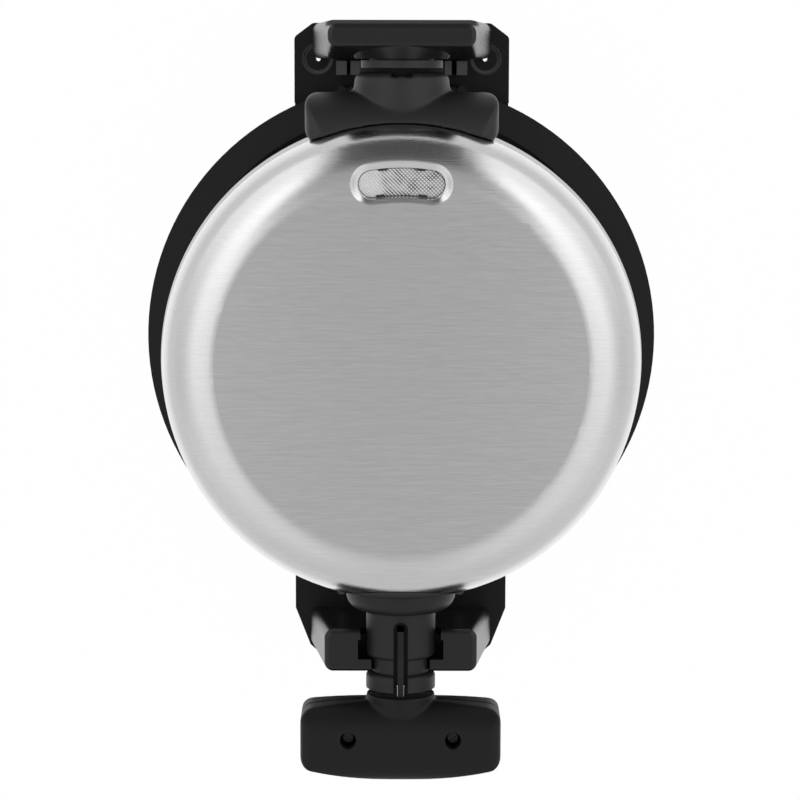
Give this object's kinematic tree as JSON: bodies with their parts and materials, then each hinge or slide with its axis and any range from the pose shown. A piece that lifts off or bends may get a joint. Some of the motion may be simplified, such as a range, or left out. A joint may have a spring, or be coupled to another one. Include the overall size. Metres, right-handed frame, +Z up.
{
  "type": "rotating waffle maker",
  "caption": "Round two-plate waffle maker whose hinged head turns between a saddle post and a bearing post, with a folding T-handle and a drip tray on a long base.",
  "frame": {"origin": "on the table under the middle of the whole product's bounding box", "axes": "+Z up, +Y from the handle to the rear hinge along the head's turning axis, +X to the right of a user who faces the handle"},
  "size_m": [0.242, 0.3374, 0.172],
  "materials": {
    "cover_steel": "satin, brushed along X",
    "black_plastic": "matt",
    "post_plastic": "semi-gloss",
    "base_plastic": "matt",
    "tray_plastic": "matt",
    "frame_plastic": "matt",
    "grid_cast": "dark non-stick coating",
    "heater_steel": "dull",
    "reflector_sheet": "mill",
    "thermostat_case": "satin",
    "tongue_steel": "satin",
    "pin_steel": "satin",
    "screw_steel": "dark",
    "bush_plastic": "natural",
    "lens_clear": "clear, patterned inside",
    "lamp_glass": "clear",
    "foot_rubber": "matt"
  },
  "bodies": {
    "base": {"base_shell": "base_plastic", "bottom_cover": "base_plastic", "bottom_screws": "screw_steel", "post_screws": "screw_steel", "rubber_feet": "foot_rubber", "front_post": "post_plastic", "rear_post": "post_plastic", "rear_bush": "bush_plastic", "cord_gland": "black_plastic"},
    "tray": {"drip_tray": "tray_plastic"},
    "head": {"lower_cover": "cover_steel", "lower_frame": "frame_plastic", "lower_grid": "grid_cast", "lower_heater": "heater_steel", "lower_thermostat": "thermostat_case", "lower_reflector": "reflector_sheet", "lower_shaft": "black_plastic", "lower_housing": "black_plastic", "trunnion": "black_plastic", "trunnion_clip": "pin_steel", "hinge_pin": "pin_steel"},
    "lid": {"upper_cover": "cover_steel", "upper_frame": "frame_plastic", "upper_grid": "grid_cast", "upper_heater": "heater_steel", "upper_thermostat": "thermostat_case", "upper_reflector": "reflector_sheet", "upper_shaft": "black_plastic", "upper_housing": "black_plastic", "lamp_lens": "lens_clear", "signal_lamps": "lamp_glass"},
    "tongue": {"handle_tongue": "tongue_steel"},
    "handle": {"handle_top": "black_plastic", "handle_bottom": "black_plastic", "handle_screws": "screw_steel", "pivot_pin": "pin_steel"}
  },
  "joints": [
    {"name": "head_turn", "type": "hinge", "parent": "base", "child": "head", "pos_m": [0, 0, 0.13], "axis": [0, 1, 0], "range_deg": [-180, 0]},
    {"name": "lid_open", "type": "hinge", "parent": "head", "child": "lid", "pos_m": [0, 0.14205, 0.147], "axis": [-1, 0, 0], "range_deg": [0, 100]},
    {"name": "handle_pull", "type": "slide", "parent": "lid", "child": "tongue", "axis": [0, -1, 0], "range_m": [0, 0.012]},
    {"name": "handle_fold", "type": "hinge", "parent": "tongue", "child": "handle", "pos_m": [0, -0.13715, 0.124], "axis": [1, 0, 0], "range_deg": [0, 90]},
    {"name": "tray_slide", "type": "slide", "parent": "base", "child": "tray", "axis": [1, 0, 0], "range_m": [0, 0.25]}
  ]
}
